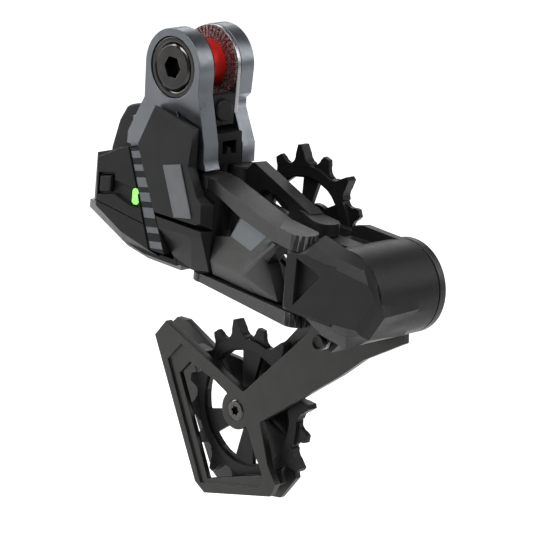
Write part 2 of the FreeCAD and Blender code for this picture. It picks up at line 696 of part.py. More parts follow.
def make_outer_link():
    """Outer link: closed eyes, a sloping bar, a faceted wing below it and a sole bar."""
    owner = body("outer_link")
    tip = link_length
    far_end = link_end - 0.4
    add(owner, "plan", [(outer_b, link_end)], link_top - link_finger, bar_top)
    add(owner, "plan", [(outer_p, far_end)], finger_under, finger_top)
    add(owner, "plan", [(outer_b, link_end)], link_sole, sole_top)
    add(owner, "plan", [(outer_p, far_end)], far_sole, far_sole_top)
    bar = [(0, bar_top), (link_end, bar_top), (tip - 6.4, finger_top - 1.7), (tip - 6.4, finger_under),
           (tip - 12, finger_under),
           (26, link_top - 10.8), (7.6, link_top - link_finger), (0, link_top - link_finger)]
    add(owner, "outer_link", [bar], -far_end, far_end)
    finger = [on_link(outer_b, tip - 19.4, far_end), on_link(outer_b, tip, far_end),
              on_link(outer_b, tip, -far_end),
              on_link(outer_b, tip - 8, -far_end)]
    add(owner, "plan", [finger], finger_under, finger_top)
    add(owner, "outer_link", [[(0, sole_top), (tip, far_sole_top), (tip, far_sole), (0, link_sole)]],
        -far_end, far_end)
    # wing: a thin web with the crest that runs from under the finger down to the sole
    inner_edge = tip - 6.7
    wing = [(25.7, -47.2), (tip - 7, -50.6), (45.6, -60.8), (inner_edge, -73.9), (38.5, -75.4), (9, -76.2),
            (9, -60.6), (19, -58)]
    add(owner, "outer_link", [wing], -4.6, 1)
    foot = [(9, -60.6), (34.3, -60.1), (44.9, -50.8), (tip - 7, -50.9), (45.6, -60.8), (inner_edge, -73.9),
            (38.5, -75.4), (9, -76.2)]
    crest = [(9, -69.9), (31.2, -68.9), (50.6, -51.4), (tip - 9, -51.8), (44.6, -58.4), (33.2, -69.4),
             (31.9, -69.9), (9, -70.5)]
    loft(owner, "outer_link", (foot, -4.4), (crest, -6.2))
    add(owner, "outer_link", [[(9, -74), (inner_edge - 3, -73), (inner_edge - 3, -78), (9, -80)]], -1, 3.4)
    # blind bores for the bushes
    cut(owner, "plan", [(outer_b, bush_radius)], link_sole - 1, bar_top - eye_cap)
    cut(owner, "plan", [(outer_p, bush_radius)], link_sole - 1, finger_top - eye_cap)
    return owner


def make_bushes():
    """Plain bushes in the four eyes of each link."""
    spans = {"outer_link_bushes": [(outer_b, link_top - link_finger, bar_top - eye_cap),
                                   (outer_b, link_sole + 0.5, sole_top),
                                   (outer_p, finger_under, finger_top - eye_cap),
                                   (outer_p, far_sole + 0.5, far_sole_top)],
             "inner_link_bushes": [(inner_b, -44, link_top - eye_cap), (inner_b, inner_link_base + 0.5, -60),
                                   (inner_p, inner_finger_under, inner_finger_top - eye_cap),
                                   (inner_p, inner_link_base + 0.5, inner_link_base + 4)]}
    for name, places in spans.items():
        made = []
        for index, (spot, low, high) in enumerate(places):
            made.append(turned("%s_%d" % (name, index), tube(bush_radius, pin_radius + fit_gap, low, high),
                               "Z",
                               spot[0], spot[1]))
        group(name, made)


def make_inner_link():
    """Inner link: a deep sloping bar with a slot and forked ends."""
    owner = body("inner_link")
    tip = link_length
    near_side = -1.6
    far_side = 4.4
    end = link_end - 1.4
    add(owner, "plan", [(inner_b, link_end - 0.6)], inner_link_base, link_top)
    add(owner, "plan", [(inner_p, end)], inner_finger_under, inner_finger_top)
    add(owner, "plan", [(inner_p, end)], inner_link_base, inner_link_base + 4)
    bar = [(0, inner_link_base + 1), (0, link_top - 0.6), (6.4, link_top - 0.6), (10.6, link_top + 3.4),
           (tip - 9, inner_finger_top + 0.4), (tip - 14.6, inner_finger_under - 1.4),
           (tip - 14.6, inner_link_base + 4),
           (tip, inner_link_base + 4), (tip, inner_link_base), (8, inner_link_base)]
    add(owner, "inner_link", [bar], near_side, far_side)
    finger = [on_link(inner_b, tip - 17, near_side), on_link(inner_b, tip - 3, -end),
              on_link(inner_b, tip, -end),
              on_link(inner_b, tip, end), on_link(inner_b, tip - 17, far_side)]
    add(owner, "plan", [finger], inner_finger_under, inner_finger_top)
    slot = [(15.8, -46.2), (16.6, -43.8), (20, -42.3), (29.6, -42.7), (36.4, -44.7), (37.8, -46.4),
            (37, -48.8),
            (33, -49.8), (18, -48.6)]
    cut(owner, "inner_link", [slot], near_side, far_side)
    cut(owner, "plan", [(inner_b, bush_radius)], inner_link_base - 1, link_top - eye_cap)
    cut(owner, "plan", [(inner_p, bush_radius)], inner_link_base - 1, inner_finger_top - eye_cap)
    return owner


# ---------------------------------------------------------------- cage knuckle

def make_p_knuckle():
    """Cage knuckle: faceted outer end, hollow barrel and two ears for the link pins."""
    owner = body("p_knuckle")
    ear_top = finger_under - clear_gap
    ear_low = far_sole_top + clear_gap
    add(owner, "side", [((cage_x, cage_z), barrel_radius)], barrel_shoulder, barrel_inner_end)
    rear = cage_x - 25.2
    base = [(rear, cage_z + 12.8), (cage_x - 12.7, cage_z + 21.1), (cage_x + 8.4, cage_z + 16.4),
            (cage_x + 15.2, cage_z + 10.6), (cage_x + 18.3, cage_z + 2.1), (cage_x + 20.5, cage_z - 2.2),
            (cage_x + 13.8, cage_z - 12.9),
            (cage_x + 2.6, cage_z - 19.5), (cage_x - 10.4, cage_z - 17.8), (rear + 1.6, ear_low + 0.4)]
    middle = [(rear - 0.2, cage_z + 11.9), (cage_x - 15, cage_z + 17), (cage_x + 12, cage_z + 14.1),
              (cage_x + 16.8, cage_z + 9.6), (cage_x + 19.8, cage_z + 4.3), (cage_x + 21, cage_z + 2.1),
              (cage_x + 13.2, cage_z - 10.7),
              (cage_x + 6, cage_z - 13.4), (cage_x - 11.4, cage_z - 13.2), (rear + 0.8, ear_low + 0.8)]
    face = [(rear - 0.3, cage_z + 11.4), (cage_x - 16.3, cage_z + 13.6), (cage_x + 17.1, cage_z + 10.4),
            (cage_x + 18.4, cage_z + 9), (cage_x + 20.9, cage_z + 6.4), (cage_x + 21.2, cage_z + 5.7),
            (cage_x + 12.9, cage_z - 8.2),
            (cage_x + 9, cage_z - 8.6), (cage_x - 12.4, cage_z - 9.7), (rear + 0.4, ear_low + 1.2)]
    loft(owner, "side", (base, barrel_shoulder), (middle, knuckle_face + 2.8), (face, knuckle_face))
    # flats that run back along the barrel
    flats = [(cage_x + 6, cage_z + 2.1), (cage_x + 18.3, cage_z + 2.1), (cage_x + 20.5, cage_z - 2.2),
             (cage_x + 13.8, cage_z - 12.9), (cage_x + 2.6, cage_z - 17)]
    flats_end = [(cage_x + 6, cage_z + 1.5), (cage_x + 18.2, cage_z + 1.5), (cage_x + 18.8, cage_z - 2.4),
                 (cage_x + 12.6, cage_z - 14.6), (cage_x + 2.6, cage_z - 17)]
    loft(owner, "side", (flats, barrel_shoulder), (flats_end, barrel_shoulder + 21))
    ear = link_end - 0.7
    add(owner, "plan", [(outer_p, ear)], ear_low, ear_top)
    add(owner, "plan", [[(outer_p[0], outer_p[1] - ear), (cage_x, knuckle_face), (cage_x, outer_p[1] + 6),
                         (outer_p[0], outer_p[1] + ear)]], ear_low, ear_top)
    cut(owner, "plan", [(outer_p, link_end + 0.2)], ear_top, ear_top + 14)
    cut(owner, "plan", [(outer_p, link_end + 0.2)], ear_low - 14, ear_low)
    inner_top = inner_finger_under - clear_gap
    inner_low = inner_link_base + 4 + clear_gap
    add(owner, "plan", [(inner_p, link_end - 1.6)], inner_low, inner_top)
    add(owner, "plan", [[(inner_p[0], inner_p[1] - link_end + 1.8), (cage_x, inner_p[1] - link_end + 1.8),
                         (cage_x, inner_p[1] + link_end - 1.8), (inner_p[0], inner_p[1] + link_end - 1.8)]],
        inner_low, inner_top)
    # inboard wall that rises over the barrel, with the hollow beside it
    add(owner, "side", [[(cage_x - 26, inner_low), (cage_x - 26, cage_z + 17.4), (cage_x - 20, cage_z + 19),
                         (cage_x + 1, cage_z + 18.3), (cage_x + 1, cage_z), (cage_x - 6, cage_z)]],
        barrel_inner_end - 3.4, barrel_inner_end)
    add(owner, "plan", [[(inner_p[0] + 3, inner_p[1]), (inner_p[0] + 9, inner_p[1]),
                         (cage_x - 10, barrel_inner_end - 1),
                         (cage_x - 26, barrel_inner_end - 1)]], inner_low, inner_top - 1.2)
    hollow = [(cage_x - 18, -7), (cage_x - 13.4, -6.4), (cage_x - 4.6, barrel_inner_end - 4.4),
              (cage_x - 20, barrel_inner_end - 4.4)]
    cut(owner, "plan", [hollow], cage_z + 14.8, cage_z + 24)
    # lug under the barrel for the cage lock
    add(owner, "side", [[(cage_x - 25.6, cage_z - 26.4), (cage_x - 18.6, cage_z - 29.6),
                         (cage_x - 6, cage_z - 16),
                         (cage_x - 16, cage_z - 8)]], 2, 13)
    # triangular pocket in the outer face
    cut(owner, "side", [[(outer_p[0] + 3.2, cage_z + 11.2), (cage_x - 7.6, cage_z + 7.6),
                         (cage_x - 7.4, cage_z + 6.6),
                         (outer_p[0] + 3.2, cage_z - 7.6)]], knuckle_face, knuckle_face + 2.6)
    # barrel bore and bearing seat
    cut(owner, "side", [((cage_x, cage_z), barrel_bore)], barrel_shoulder + 2, barrel_inner_end)
    cut(owner, "side", [((cage_x, cage_z), cage_bearing_radius + fit_gap)], barrel_shoulder - 2,
        barrel_shoulder + 2)
    cut(owner, "plan", [(outer_p, pin_radius + fit_gap / 2)], ear_low - 1, ear_top + 1)
    cut(owner, "plan", [(inner_p, pin_radius + fit_gap / 2)], inner_low - 1, inner_top + 1)
    lock_x = cage_x - 21.4
    lock_z = cage_z - 25.6
    cut(owner, "side", [((lock_x, lock_z), 2.3 + fit_gap)], 2, 13)
    return owner


def make_barrel_parts():
    """Axle, bearings, spring, damper, cap and seal inside the barrel."""
    shoulder = barrel_shoulder
    end = barrel_inner_end
    turned("barrel_cap", [(cage_bearing_radius + fit_gap, end - 5), (barrel_bore - fit_gap, end - 5),
                          (barrel_bore - fit_gap, end), (cage_bearing_radius + fit_gap, end)], "Y", cage_x, 0,
                          cage_z)
    turned("cage_axle", [(0, shoulder - 1.6), (axle_radius, shoulder - 1.6), (axle_radius, plate_in - 0.6),
                         (0, plate_in - 0.6)], "Y", cage_x, 0, cage_z)
    bearings = []
    for index, low in enumerate((shoulder - 1.8, end - 4.8)):
        bearings.append(turned("cage_bearing_%d" % index,
                               tube(cage_bearing_radius, axle_radius + fit_gap, low, low + 3.6),
                               "Y", cage_x, 0, cage_z))
    group("cage_bearings", bearings)
    turned("cage_damper", tube(barrel_bore - fit_gap, 9.4, shoulder + 2.2, shoulder + 13), "Y", cage_x, 0,
           cage_z)
    turned("one_way_clutch", tube(9.4 - fit_gap, axle_radius + fit_gap, shoulder + 2.4, shoulder + 12.8), "Y",
           cage_x, 0, cage_z)
    coil("cage_spring", 11.2, 0.95, shoulder + 13.6, end - 5.6, 5, cage_x, cage_z)
    turned("barrel_seal", tube(barrel_radius - 1.2, barrel_radius - 2.6, end, end + 0.5), "Y", cage_x, 0,
           cage_z)
    lock_x = cage_x - 21.4
    lock_z = cage_z - 25.6
    turned("cage_lock_button", [(0, -2.2), (1.9, -2.2), (2.5, -3), (3.1, -3), (3.1, -1.4), (2.3, -0.6),
                                (2.3, 14.6),
                                (0, 14.6)], "Y", lock_x, 0, lock_z)
    coil("lock_spring", 2.75, 0.22, -0.55, 1.95, 3, lock_x, lock_z)


# ---------------------------------------------------------------- cage and wheels

def cage_outline(points):
    """Corners of a cage plate, given as offsets from the lower wheel's centre."""
    return [(lower_wheel[0] + across, lower_wheel[1] + up) for across, up in points]


def make_cage():
    """The two cage plates with the screws that hold the guide wheels."""
    outer = body("outer_cage_plate")
    add(outer, "side", [((cage_x, cage_z), barrel_radius)], plate_out, plate_in)
    add(outer, "side", [cage_outline([(-50.3, 18), (-44.4, 25.7), (3.3, 8.9), (36.5, 43.8)]) +
                        [(cage_x - 13, cage_z + 12), (cage_x, cage_z), (cage_x + 2.6, cage_z - 23)] +
                        cage_outline([(66.4, 40.8), (54.9, 30.7), (14.1, -0.9), (20.5, -17.5), (25.6, -24.1),
                                      (23, -30), (-14, -40.2), (-19.8, -37)])],
        plate_out, plate_in)
    add(outer, "side", [[(upper_wheel[0], upper_wheel[1] - 7), (cage_x, cage_z - 10), (cage_x, cage_z + 14),
                         (upper_wheel[0], upper_wheel[1] + 7)]], plate_out, plate_in)
    add(outer, "side", [(upper_wheel, 7)], plate_out, plate_in)
    cut(outer, "side", [cage_outline([(-34.7, 5.8), (-29.3, 12.1), (-7.5, 6.7), (8.1, -6.6), (16.8, -23),
                                      (-13.5, -33.9)])], plate_out, plate_in)
    cut(outer, "side", [((cage_x, cage_z), axle_radius + fit_gap)], plate_out, plate_in)
    add(outer, "side", [(lower_wheel, 8)], plate_out, plate_in)
    cut(outer, "side", [cage_outline([(-41.5, 10), (-34.4, 18.5), (-9, 12.6), (-9.6, 3.4), (-12.6, -3),
                                      (-9.6, -9),
                                      (-3, -11.6), (8.4, -10.2), (19.6, -23.6), (16.6, -28.4),
                                      (-16.6, -36.6)])],
        plate_out, plate_out + 0.9)
    inner = body("inner_cage_plate")
    add(inner, "side", [(upper_wheel, 8)], far_plate_out, far_plate_in)
    add(inner, "side", [[(upper_wheel[0] - 8, upper_wheel[1]), (upper_wheel[0] + 8, upper_wheel[1])] +
                        cage_outline([(33, 43), (27, 24), (17, 2), (25, -24), (17, -35), (-15, -41),
                                      (-23, -36),
                                      (-56, 18), (-51, 23.4), (-45, 23.8), (-28, 16.6), (-8, 16), (12, 31),
                                      (22, 43)])],
        far_plate_out, far_plate_in)
    cut(inner, "side", [cage_outline([(-38, 6), (-30, 12), (-12, 6), (-6, -8), (2, -12), (12, -22),
                                      (-10, -31),
                                      (-24, -20), (-33, -4)])], far_plate_out, far_plate_in)
    for plate, low, high in ((outer, plate_out, plate_in), (inner, far_plate_out, far_plate_in)):
        cut(plate, "side", [(upper_wheel, wheel_bolt_radius + fit_gap),
                            (lower_wheel, wheel_bolt_radius + fit_gap)],
            low, high)
    cut(outer, "side", [(upper_wheel, wheel_bolt_head + fit_gap), (lower_wheel, wheel_bolt_head + fit_gap)],
        plate_out, plate_out + 1.6)
    # catch for the cage lock in the arm
    turned("cage_stop_pin", rod(2.0, plate_out - 3.2, plate_out), "Y", cage_x - 16.2, 0, cage_z - 16.2)
    bolts = []
    for index, spot in enumerate((upper_wheel, lower_wheel)):
        bolt = turned("wheel_bolt_%d" % index,
                      [(0, plate_out - 0.4), (wheel_bolt_head - 0.6, plate_out - 0.4),
                       (wheel_bolt_head, plate_out),
                       (wheel_bolt_head, plate_out + 1.6), (wheel_bolt_radius, plate_out + 1.6),
                       (wheel_bolt_radius, far_plate_in), (0, far_plate_in)], "Y", spot[0], 0, spot[1])
        cut(bolt, "side", [lobes(2.3, 1.5)], plate_out - 1, plate_out + 1.4)
        bolts.append(bolt)
    group("wheel_bolts", bolts)


def wheel(name, spot, teeth, phase):
    """A narrow-wide guide wheel with raised rims, slanted spokes and a hub."""
    owner = body(name)
    pitch_radius = chain_pitch / 2 / sine(Size(180.0, "(180)") / teeth)
    root = pitch_radius - tooth_root_drop
    rim_inner = root - 4.2
    half = narrow_width / 2
    add(owner, "side", [((0, 0), root)], -half, half)
    window_count = 6
    slant = rim_inner * 0.42
    window = [(-1.8, hub_radius + 0.8), (2.4, hub_radius + 0.8), (slant, rim_inner - 3.2),
              (slant * 0.45, rim_inner - 0.9), (slant * -0.35, rim_inner - 1.2)]
    pocket = cut(owner, "side", [window], -half, half)
    around(owner, pocket, window_count)
    add(owner, "side", [((0, 0), root), ((0, 0), rim_inner)], -half - 1.1, half + 1.1)
    add(owner, "side", [((0, 0), hub_radius)], -hub_width / 2 + 1.0, hub_width / 2 - 1.0)
    # the chain's rollers seat in round valleys between the teeth
    seat = [(chain_pitch / 2 - tooth_root_drop * sine(turn), -tooth_root_drop * cosine(turn))
            for turn in (20, 45, 70, 90)]
    for width, tip, turn, crown in ((narrow_width, tooth_narrow_tip, 0, 1.5),
                                    (wide_width, tooth_wide_tip, 1, 0.9)):
        angle = Size(360.0, "(360)") / teeth * turn
        foot = -tooth_root_drop - 1
        flank = [(5, foot)] + seat + [(crown, tip)]
        shape = flank + [(-across, up) for across, up in flank[::-1]]
        turned_shape = [(across * cosine(angle) + (pitch_radius + up) * sine(angle),
                         (pitch_radius + up) * cosine(angle) - across * sine(angle)) for across, up in shape]
        tooth = add(owner, "side", [turned_shape], -width / 2, width / 2)
        around(owner, tooth, teeth / 2)
    cut(owner, "side", [((0, 0), bearing_outer)], -hub_width / 2, hub_width / 2)
    owner.Placement.Rotation = FreeCAD.Rotation(FreeCAD.Vector(0, 1, 0), phase.value)
    place(owner, spot[0], wheel_plane, spot[1])
    return owner


def make_wheels():
    caps = []
    for name, spot, teeth, phase in (("upper_wheel", upper_wheel, upper_teeth, upper_phase),
                                     ("lower_wheel", lower_wheel, lower_teeth, lower_phase)):
        wheel(name, spot, teeth, phase)
        low = wheel_plane - hub_width / 2
        high = wheel_plane + hub_width / 2
        turned(name + "_bearing", tube(bearing_outer - 0.02, bearing_inner + 0.02, low + 1, high - 1), "Y",
               spot[0], 0, spot[1])
        for index, start in enumerate((plate_in, far_plate_out - 0.9)):
            caps.append(turned("%s_cap_%d" % (name, index),
                               tube(hub_radius - 1.2, bearing_inner, start, start + 0.9),
                               "Y", spot[0], 0, spot[1]))
    group("wheel_caps", caps)


def make_screws():
    """Cover screws, seated in the rear of the drive housing."""
    made = []
    for index, (across, up) in enumerate(((-30, -70), (-2, -76.2), (4, -41.4))):
        made.append(turned("cover_screw_%d" % index, [(0, 0), (screw_head, 0), (screw_head, 1.4), (0, 1.4)],
                           "Y",
                           across, housing_inner, up))
    group("housing_screws", made)


make_b_knuckle()
make_mount()
make_gap_parts()
make_housing()
make_covers()
make_controls()
make_inside()
make_battery()
make_skid()
make_pins()
make_outer_link()
make_inner_link()
make_bushes()
make_p_knuckle()
make_barrel_parts()
make_cage()
make_wheels()
make_screws()

doc.recompute()


# ---------------------------------------------------------------- checks and export

for thing in doc.Objects:
    if "Invalid" in thing.State or "Error" in thing.State:
        raise ValueError("%s did not recompute: %s" % (thing.Label, thing.State))

os.makedirs("parts", exist_ok=True)
for node in NODES:
    if node.Shape.isNull() or not node.Shape.isValid():
        raise ValueError(node.Label + " has no valid shape")
    node.Shape.exportStep(os.path.join("parts", node.Label + ".step"))
print(len(NODES), "nodes")
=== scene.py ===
import bpy
import json
import math
from mathutils import Matrix, Vector


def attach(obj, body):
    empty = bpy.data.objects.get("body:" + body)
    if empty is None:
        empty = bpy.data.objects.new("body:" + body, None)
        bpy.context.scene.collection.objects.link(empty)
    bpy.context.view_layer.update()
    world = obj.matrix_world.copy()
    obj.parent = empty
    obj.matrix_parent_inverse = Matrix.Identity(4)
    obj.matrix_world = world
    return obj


# Looks of an electronic rear derailleur: finishes, fine detail, light and camera.
# Blender works in metres in the row frame: X forward, Y inboard, Z up.

MM = 0.001

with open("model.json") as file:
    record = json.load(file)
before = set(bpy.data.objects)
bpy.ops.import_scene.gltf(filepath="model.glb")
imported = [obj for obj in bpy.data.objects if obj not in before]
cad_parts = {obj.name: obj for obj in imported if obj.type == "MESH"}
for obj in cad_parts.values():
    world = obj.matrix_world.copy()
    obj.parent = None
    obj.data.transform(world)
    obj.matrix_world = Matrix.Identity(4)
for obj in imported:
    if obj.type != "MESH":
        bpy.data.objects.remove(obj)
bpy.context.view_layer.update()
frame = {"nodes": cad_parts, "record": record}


# ---------------------------------------------------------------- materials

class Tree:
    """A small helper that wires a material's nodes."""

    def __init__(self, name):
        self.material = bpy.data.materials.new(name)
        self.material.use_nodes = True
        self.nodes = self.material.node_tree.nodes
        self.links = self.material.node_tree.links
        self.shader = self.nodes["Principled BSDF"]
        self.place = self.nodes.new("ShaderNodeTexCoord").outputs["Object"]

    def link(self, source, target):
        self.links.new(source, target)

    def node(self, kind, **settings):
        made = self.nodes.new(kind)
        for key, value in settings.items():
            setattr(made, key, value)
        return made

    def stretched(self, factors):
        """The piece's own coordinates, stretched along the axes."""
        mapping = self.node("ShaderNodeMapping")
        mapping.inputs["Scale"].default_value = factors
        self.link(self.place, mapping.inputs["Vector"])
        return mapping.outputs["Vector"]

    def noise(self, grain, detail=4.0, place=None):
        """Fractal noise whose features are about grain metres across."""
        made = self.node("ShaderNodeTexNoise")
        made.inputs["Scale"].default_value = 1 / grain
        made.inputs["Detail"].default_value = detail
        self.link(place or self.place, made.inputs["Vector"])
        return made.outputs["Fac"]

    def cells(self, grain):
        """Distance from the middles of cells about grain metres across."""
        made = self.node("ShaderNodeTexVoronoi")
        made.inputs["Scale"].default_value = 1 / grain
        self.link(self.place, made.inputs["Vector"])
        return made.outputs["Distance"]

    def mapped(self, source, low, high, start=0.3, stop=0.7):
        """source between start and stop, turned into low to high."""
        made = self.node("ShaderNodeMapRange")
        for socket, value in zip(("From Min", "From Max", "To Min", "To Max"), (start, stop, low, high)):
            made.inputs[socket].default_value = value
        self.link(source, made.inputs["Value"])
        return made.outputs["Result"]

    def mixed(self, factor, first, second):
        """A colour between two colours or sockets."""
        made = self.node("ShaderNodeMix", data_type="RGBA")
        self.link(factor, made.inputs[0])
        for socket, value in ((made.inputs[6], first), (made.inputs[7], second)):
            if isinstance(value, tuple):
                socket.default_value = (*value, 1)
            else:
                self.link(value, socket)
        return made.outputs[2]

    def sums(self, first, second, operation="ADD"):
        """Two numbers or sockets added, or joined by another operation."""
        made = self.node("ShaderNodeMath", operation=operation)
        for socket, value in zip(made.inputs, (first, second)):
            if isinstance(value, (int, float)):
                socket.default_value = value
            else:
                self.link(value, socket)
        return made.outputs[0]

    def soft_edges(self, radius):
        """The normal with edges rounded by radius, and how close an edge is, from 0 to 1."""
        rounded = self.node("ShaderNodeBevel", samples=6)
        rounded.inputs["Radius"].default_value = radius
        geometry = self.node("ShaderNodeNewGeometry")
        along = self.node("ShaderNodeVectorMath", operation="DOT_PRODUCT")
        self.link(rounded.outputs["Normal"], along.inputs[0])
        self.link(geometry.outputs["Normal"], along.inputs[1])
        return rounded.outputs["Normal"], self.mapped(along.outputs["Value"], 1, 0, 0.6, 0.93)

    def bump(self, height, depth, normal=None):
        """A bump of depth metres from a height between 0 and 1."""
        made = self.node("ShaderNodeBump")
        made.inputs["Strength"].default_value = 1.0
        made.inputs["Distance"].default_value = depth
        self.link(height, made.inputs["Height"])
        if normal is not None:
            self.link(normal, made.inputs["Normal"])
        return made.outputs["Normal"]


def shade(colour, factor):
    return tuple(min(1.0, part * factor) for part in colour)


# How large a finish's cloudy patches and its scuffs are.
CLOUD_GRAIN = 9 * MM
SCUFF_GRAIN = 1.1 * MM


def finish(name, colour, rough, metallic=0.0, grain=0.25 * MM, depth=0.01 * MM, edge=0.25 * MM,
           worn=1.6, mottle=0.14, brushed=None):
    """A painted, moulded or machined surface.

    grain and depth size its texture, edge rounds its edges, worn lightens them, mottle is how far
    its colour wanders, and brushed stretches the texture along one axis like a machining mark."""
    tree = Tree(name)
    shader = tree.shader
    rounded, near_edge = tree.soft_edges(edge)
    cloudy = tree.noise(CLOUD_GRAIN, 5)
    fine = tree.noise(grain, 3, tree.stretched(brushed) if brushed else None)
    scuffs = tree.noise(SCUFF_GRAIN, 6, tree.stretched((1, 1, 0.6)))
    body = tree.mixed(tree.mapped(cloudy, 0, 1), shade(colour, 1 - mottle), shade(colour, 1 + mottle))
    specks = tree.mixed(tree.mapped(fine, 0, 0.5), body, shade(colour, 1 + 2 * mottle))
    rubbed = tree.sums(near_edge, tree.mapped(scuffs, 0.1, 1, 0.4, 0.62), "MULTIPLY")
    tree.link(tree.mixed(rubbed, specks, shade(colour, worn)), shader.inputs["Base Color"])
    dull = tree.sums(tree.mapped(cloudy, -0.05, 0.05), tree.mapped(scuffs, rough - 0.03, rough + 0.06))
    tree.link(tree.sums(dull, tree.mapped(fine, -0.03, 0.03)), shader.inputs["Roughness"])
    tree.link(tree.bump(fine, depth, normal=rounded), shader.inputs["Normal"])
    shader.inputs["Metallic"].default_value = metallic
    shader.inputs["Specular IOR Level"].default_value = 0.35
    return tree.material


def make_finishes():
    """One material for each of the record's slots."""
    return {
        "forged_grey": finish("forged_grey", (0.27, 0.288, 0.312), 0.33, 1.0, mottle=0.05),
        "polished_black": finish("polished_black", (0.12, 0.116, 0.113), 0.15, 1.0, edge=0.2 * MM),
        "bright_steel": finish("bright_steel", (0.5, 0.5, 0.51), 0.24, 1.0, brushed=(1, 8, 1)),
        "red_anodised": finish("red_anodised", (0.62, 0.016, 0.012), 0.4, 0.45, mottle=0.04),
        "ring_steel": knurled("ring_steel", (0.5, 0.47, 0.47), (0.14, 0.02, 0.02), 0.38 * MM),
        "black_plastic": finish("black_plastic", (0.006, 0.006, 0.0065), 0.48, grain=0.18 * MM),
        "charcoal_paint": finish("charcoal_paint", (0.036, 0.036, 0.037), 0.42, 0.55, depth=0.014 * MM),
        "link_grey": finish("link_grey", (0.064, 0.063, 0.062), 0.42, 0.8),
        "badge_grey": finish("badge_grey", (0.2, 0.205, 0.215), 0.4, 0.3),
        "lamp_green": lamp("lamp_green"),
        "skid_grey": finish("skid_grey", (0.3, 0.3, 0.31), 0.3, 0.6),
        "dash_grey": finish("dash_grey", (0.19, 0.205, 0.22), 0.5, mottle=0.08),
        "patch_blue": finish("patch_blue", (0.17, 0.19, 0.205), 0.42, 0.3, mottle=0.06),
        "battery_black": finish("battery_black", (0.014, 0.014, 0.015), 0.3),
        "contact_gold": finish("contact_gold", (0.75, 0.55, 0.22), 0.25, 1.0),
        "motor_steel": finish("motor_steel", (0.3, 0.3, 0.31), 0.3, 0.9, brushed=(1, 1, 8)),
        "board_green": finish("board_green", (0.01, 0.08, 0.03), 0.4),
        "bush_bronze": finish("bush_bronze", (0.35, 0.22, 0.1), 0.35, 1.0),
        "wheel_black": finish("wheel_black", (0.012, 0.012, 0.013), 0.4, grain=0.3 * MM),
        "cage_grey": finish("cage_grey", (0.075, 0.074, 0.072), 0.38, 0.85, brushed=(1, 1, 0.3)),
        "seal_rubber": finish("seal_rubber", (0.012, 0.012, 0.012), 0.65, depth=0.03 * MM),
    }


KNURL_DEPTH = 0.12 * MM


def knurled(name, crest, valley, pitch):
    """Metal cut into fine raised cells with dark valleys between them, KNURL_DEPTH deep."""
    tree = Tree(name)
    shader = tree.shader
    dimples = tree.cells(pitch)
    cloudy = tree.noise(4 * MM, 4)
    high = tree.mapped(dimples, 1, 0, 0.25, 0.6)
    tree.link(tree.mixed(high, valley, crest), shader.inputs["Base Color"])
    tree.link(tree.mapped(cloudy, 0.26, 0.38), shader.inputs["Roughness"])
    tree.link(tree.bump(high, KNURL_DEPTH, normal=tree.soft_edges(0.15 * MM)[0]), shader.inputs["Normal"])
    shader.inputs["Metallic"].default_value = 1.0
    return tree.material


def lamp(name):
    """A glowing, slightly speckled lens."""
    tree = Tree(name)
    shader = tree.shader
    speckle = tree.noise(0.8 * MM, 3)
    tint = tree.mixed(tree.mapped(speckle, 0, 1), (0.1, 0.9, 0.05), (0.35, 1.0, 0.2))
    tree.link(tint, shader.inputs["Base Color"])
    tree.link(tint, shader.inputs["Emission Color"])
    shader.inputs["Emission Strength"].default_value = 1.6
    tree.link(tree.mapped(speckle, 0.15, 0.3), shader.inputs["Roughness"])
    tree.link(tree.bump(speckle, 0.05 * MM), shader.inputs["Normal"])
    return tree.material


# How far each shell's edges are rounded, in millimetres. Every other node gets EDGE.
EDGE = 0.12
ROUNDED = {
    "b_knuckle": 0.45, "outer_cage_plate": 0.55, "inner_cage_plate": 0.5, "outer_link": 0.4,
    "inner_link": 0.4, "p_knuckle": 0.4, "motor_cover": 0.35, "lower_cover": 0.3,
    "electronics_cover": 0.35, "housing_sill": 0.3, "slanted_panel": 0.25, "battery": 0.8,
    "motor_housing": 0.4, "skid_plate": 0.5, "battery_latch": 0.5, "upper_wheel": 0.35,
    "lower_wheel": 0.35, "function_button": 0.3, "barrel_cap": 0.3,
}


# Nodes whose finish differs from the rest of their slot.
REPAINTED = {"wheel_bolts": "polished_black", "cage_lock_button": "link_grey", "thrust_plate": "bright_steel",
             "lower_cover": "charcoal_paint", "fine_ring": "ring_steel"}


# Faces that differ by less than FLAT_ANGLE are one face, and sharper turns than EDGE_ANGLE are
# edges, both in degrees.
FLAT_ANGLE = 0.4
EDGE_ANGLE = 24


def round_edges(node, width):
    """Merge the mesh's flat faces, round its edges and shade it as one moulding."""
    weld = node.modifiers.new("weld", "WELD")
    weld.merge_threshold = 0.001 * MM
    flat = node.modifiers.new("flat", "DECIMATE")
    flat.decimate_type = "DISSOLVE"
    flat.angle_limit = math.radians(FLAT_ANGLE)
    bevel = node.modifiers.new("bevel", "BEVEL")
    bevel.limit_method = "ANGLE"
    bevel.angle_limit = math.radians(EDGE_ANGLE)
    bevel.width = width * MM
    bevel.segments = 2
    bevel.use_clamp_overlap = True
    normals = node.modifiers.new("normals", "WEIGHTED_NORMAL")
    normals.weight = 50
    normals.keep_sharp = False


def dress_frame(finishes):
    """Put each CAD node's finish on it and round its edges."""
    for subpart in frame["record"]["subparts"]:
        node = frame["nodes"][subpart["node"]]
        for slot in node.material_slots:
            slot.link = "OBJECT"
            slot.material = finishes[REPAINTED.get(subpart["node"], subpart["material_slot"])]
        round_edges(node, ROUNDED.get(subpart["node"], EDGE))


# ---------------------------------------------------------------- painted marks

# All in millimetres. The outer link runs from its pin at the housing to its pin at the knuckle.
LINK_BASE = (24.0, -2.0)
LINK_RUN = (60.0, -12.0)
# How far outboard the painted faces lie, and how thick the paint is.
LINK_WEB_FACE = -4.66
PANEL_FACE = -13.66
PAINT = 0.05
